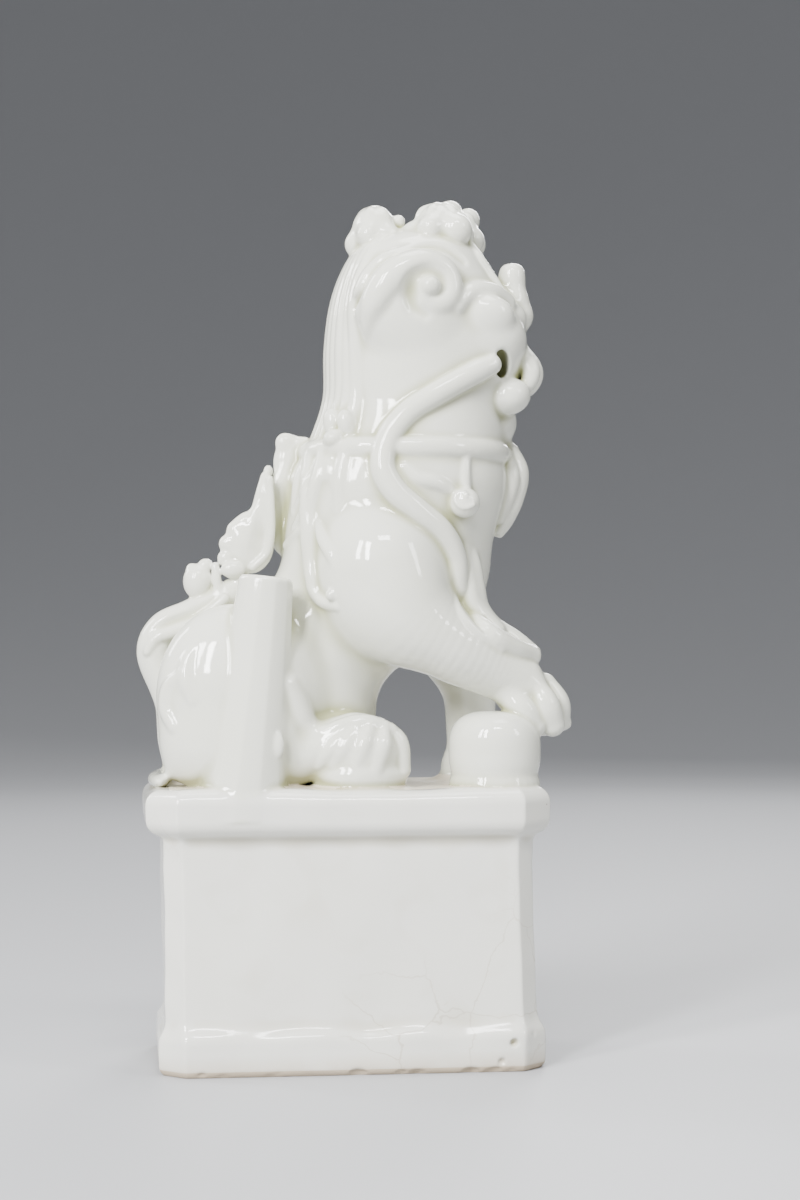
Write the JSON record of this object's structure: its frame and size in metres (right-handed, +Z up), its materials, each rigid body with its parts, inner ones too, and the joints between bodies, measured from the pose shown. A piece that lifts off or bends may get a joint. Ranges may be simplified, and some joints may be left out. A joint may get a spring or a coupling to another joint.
{
  "type": "foo dog statue",
  "caption": "Seated guardian lion of white glazed porcelain on a hollow rectangular plinth, a paw on a ball and a tapered joss stick tube at its flank.",
  "frame": {"origin": "centre of the plinth on the surface it stands on", "axes": "+X the way the lion faces, +Y the lion's left, +Z up"},
  "size_m": [0.091, 0.0503, 0.1789],
  "materials": {
    "white_glaze": "thick glossy ivory-white glaze, olive where it pools",
    "plinth_glaze": "glossy ivory-white glaze with brown pits, bare at the foot rim",
    "deck_biscuit": "thinly glazed warm biscuit"
  },
  "bodies": {
    "root": {"ball": "white_glaze", "bell_left": "white_glaze", "bell_right": "white_glaze", "body_left_half": "white_glaze", "body_right_half": "white_glaze", "brow_left": "white_glaze", "brow_right": "white_glaze", "chin": "white_glaze", "collar": "white_glaze", "collar_boss_left": "white_glaze", "collar_boss_right": "white_glaze", "crown_curl_left": "white_glaze", "crown_curl_rear": "white_glaze", "crown_curl_right": "white_glaze", "ear_left": "white_glaze", "ear_right": "white_glaze", "eye_left": "white_glaze", "eye_right": "white_glaze", "foot_moulding_front": "plinth_glaze", "foot_moulding_left": "plinth_glaze", "foot_moulding_rear": "plinth_glaze", "foot_moulding_right": "plinth_glaze", "foot_rim": "deck_biscuit", "forehead_knob": "white_glaze", "foreleg_left": "white_glaze", "foreleg_right": "white_glaze", "forepaw_left": "white_glaze", "forepaw_right": "white_glaze", "front_tassel": "white_glaze", "head": "white_glaze", "hind_foot_left": "white_glaze", "hind_foot_right": "white_glaze", "joss_stick_tube": "white_glaze", "lower_lip_left": "white_glaze", "lower_lip_right": "white_glaze", "nape_mane_centre": "white_glaze", "nape_mane_left": "white_glaze", "nape_mane_right": "white_glaze", "nose": "white_glaze", "plinth_deck": "deck_biscuit", "plinth_wall_front": "plinth_glaze", "plinth_wall_left": "plinth_glaze", "plinth_wall_rear": "plinth_glaze", "plinth_wall_right": "plinth_glaze", "ribbon": "white_glaze", "side_lock_left": "white_glaze", "side_lock_right": "white_glaze", "tail": "white_glaze", "tail_knob": "white_glaze", "tail_leaf_high": "white_glaze", "tail_leaf_low": "white_glaze", "tail_leaf_middle": "white_glaze", "top_moulding_front": "plinth_glaze", "top_moulding_left": "plinth_glaze", "top_moulding_rear": "plinth_glaze", "top_moulding_right": "plinth_glaze", "upper_lip": "white_glaze"}
  },
  "joints": []
}
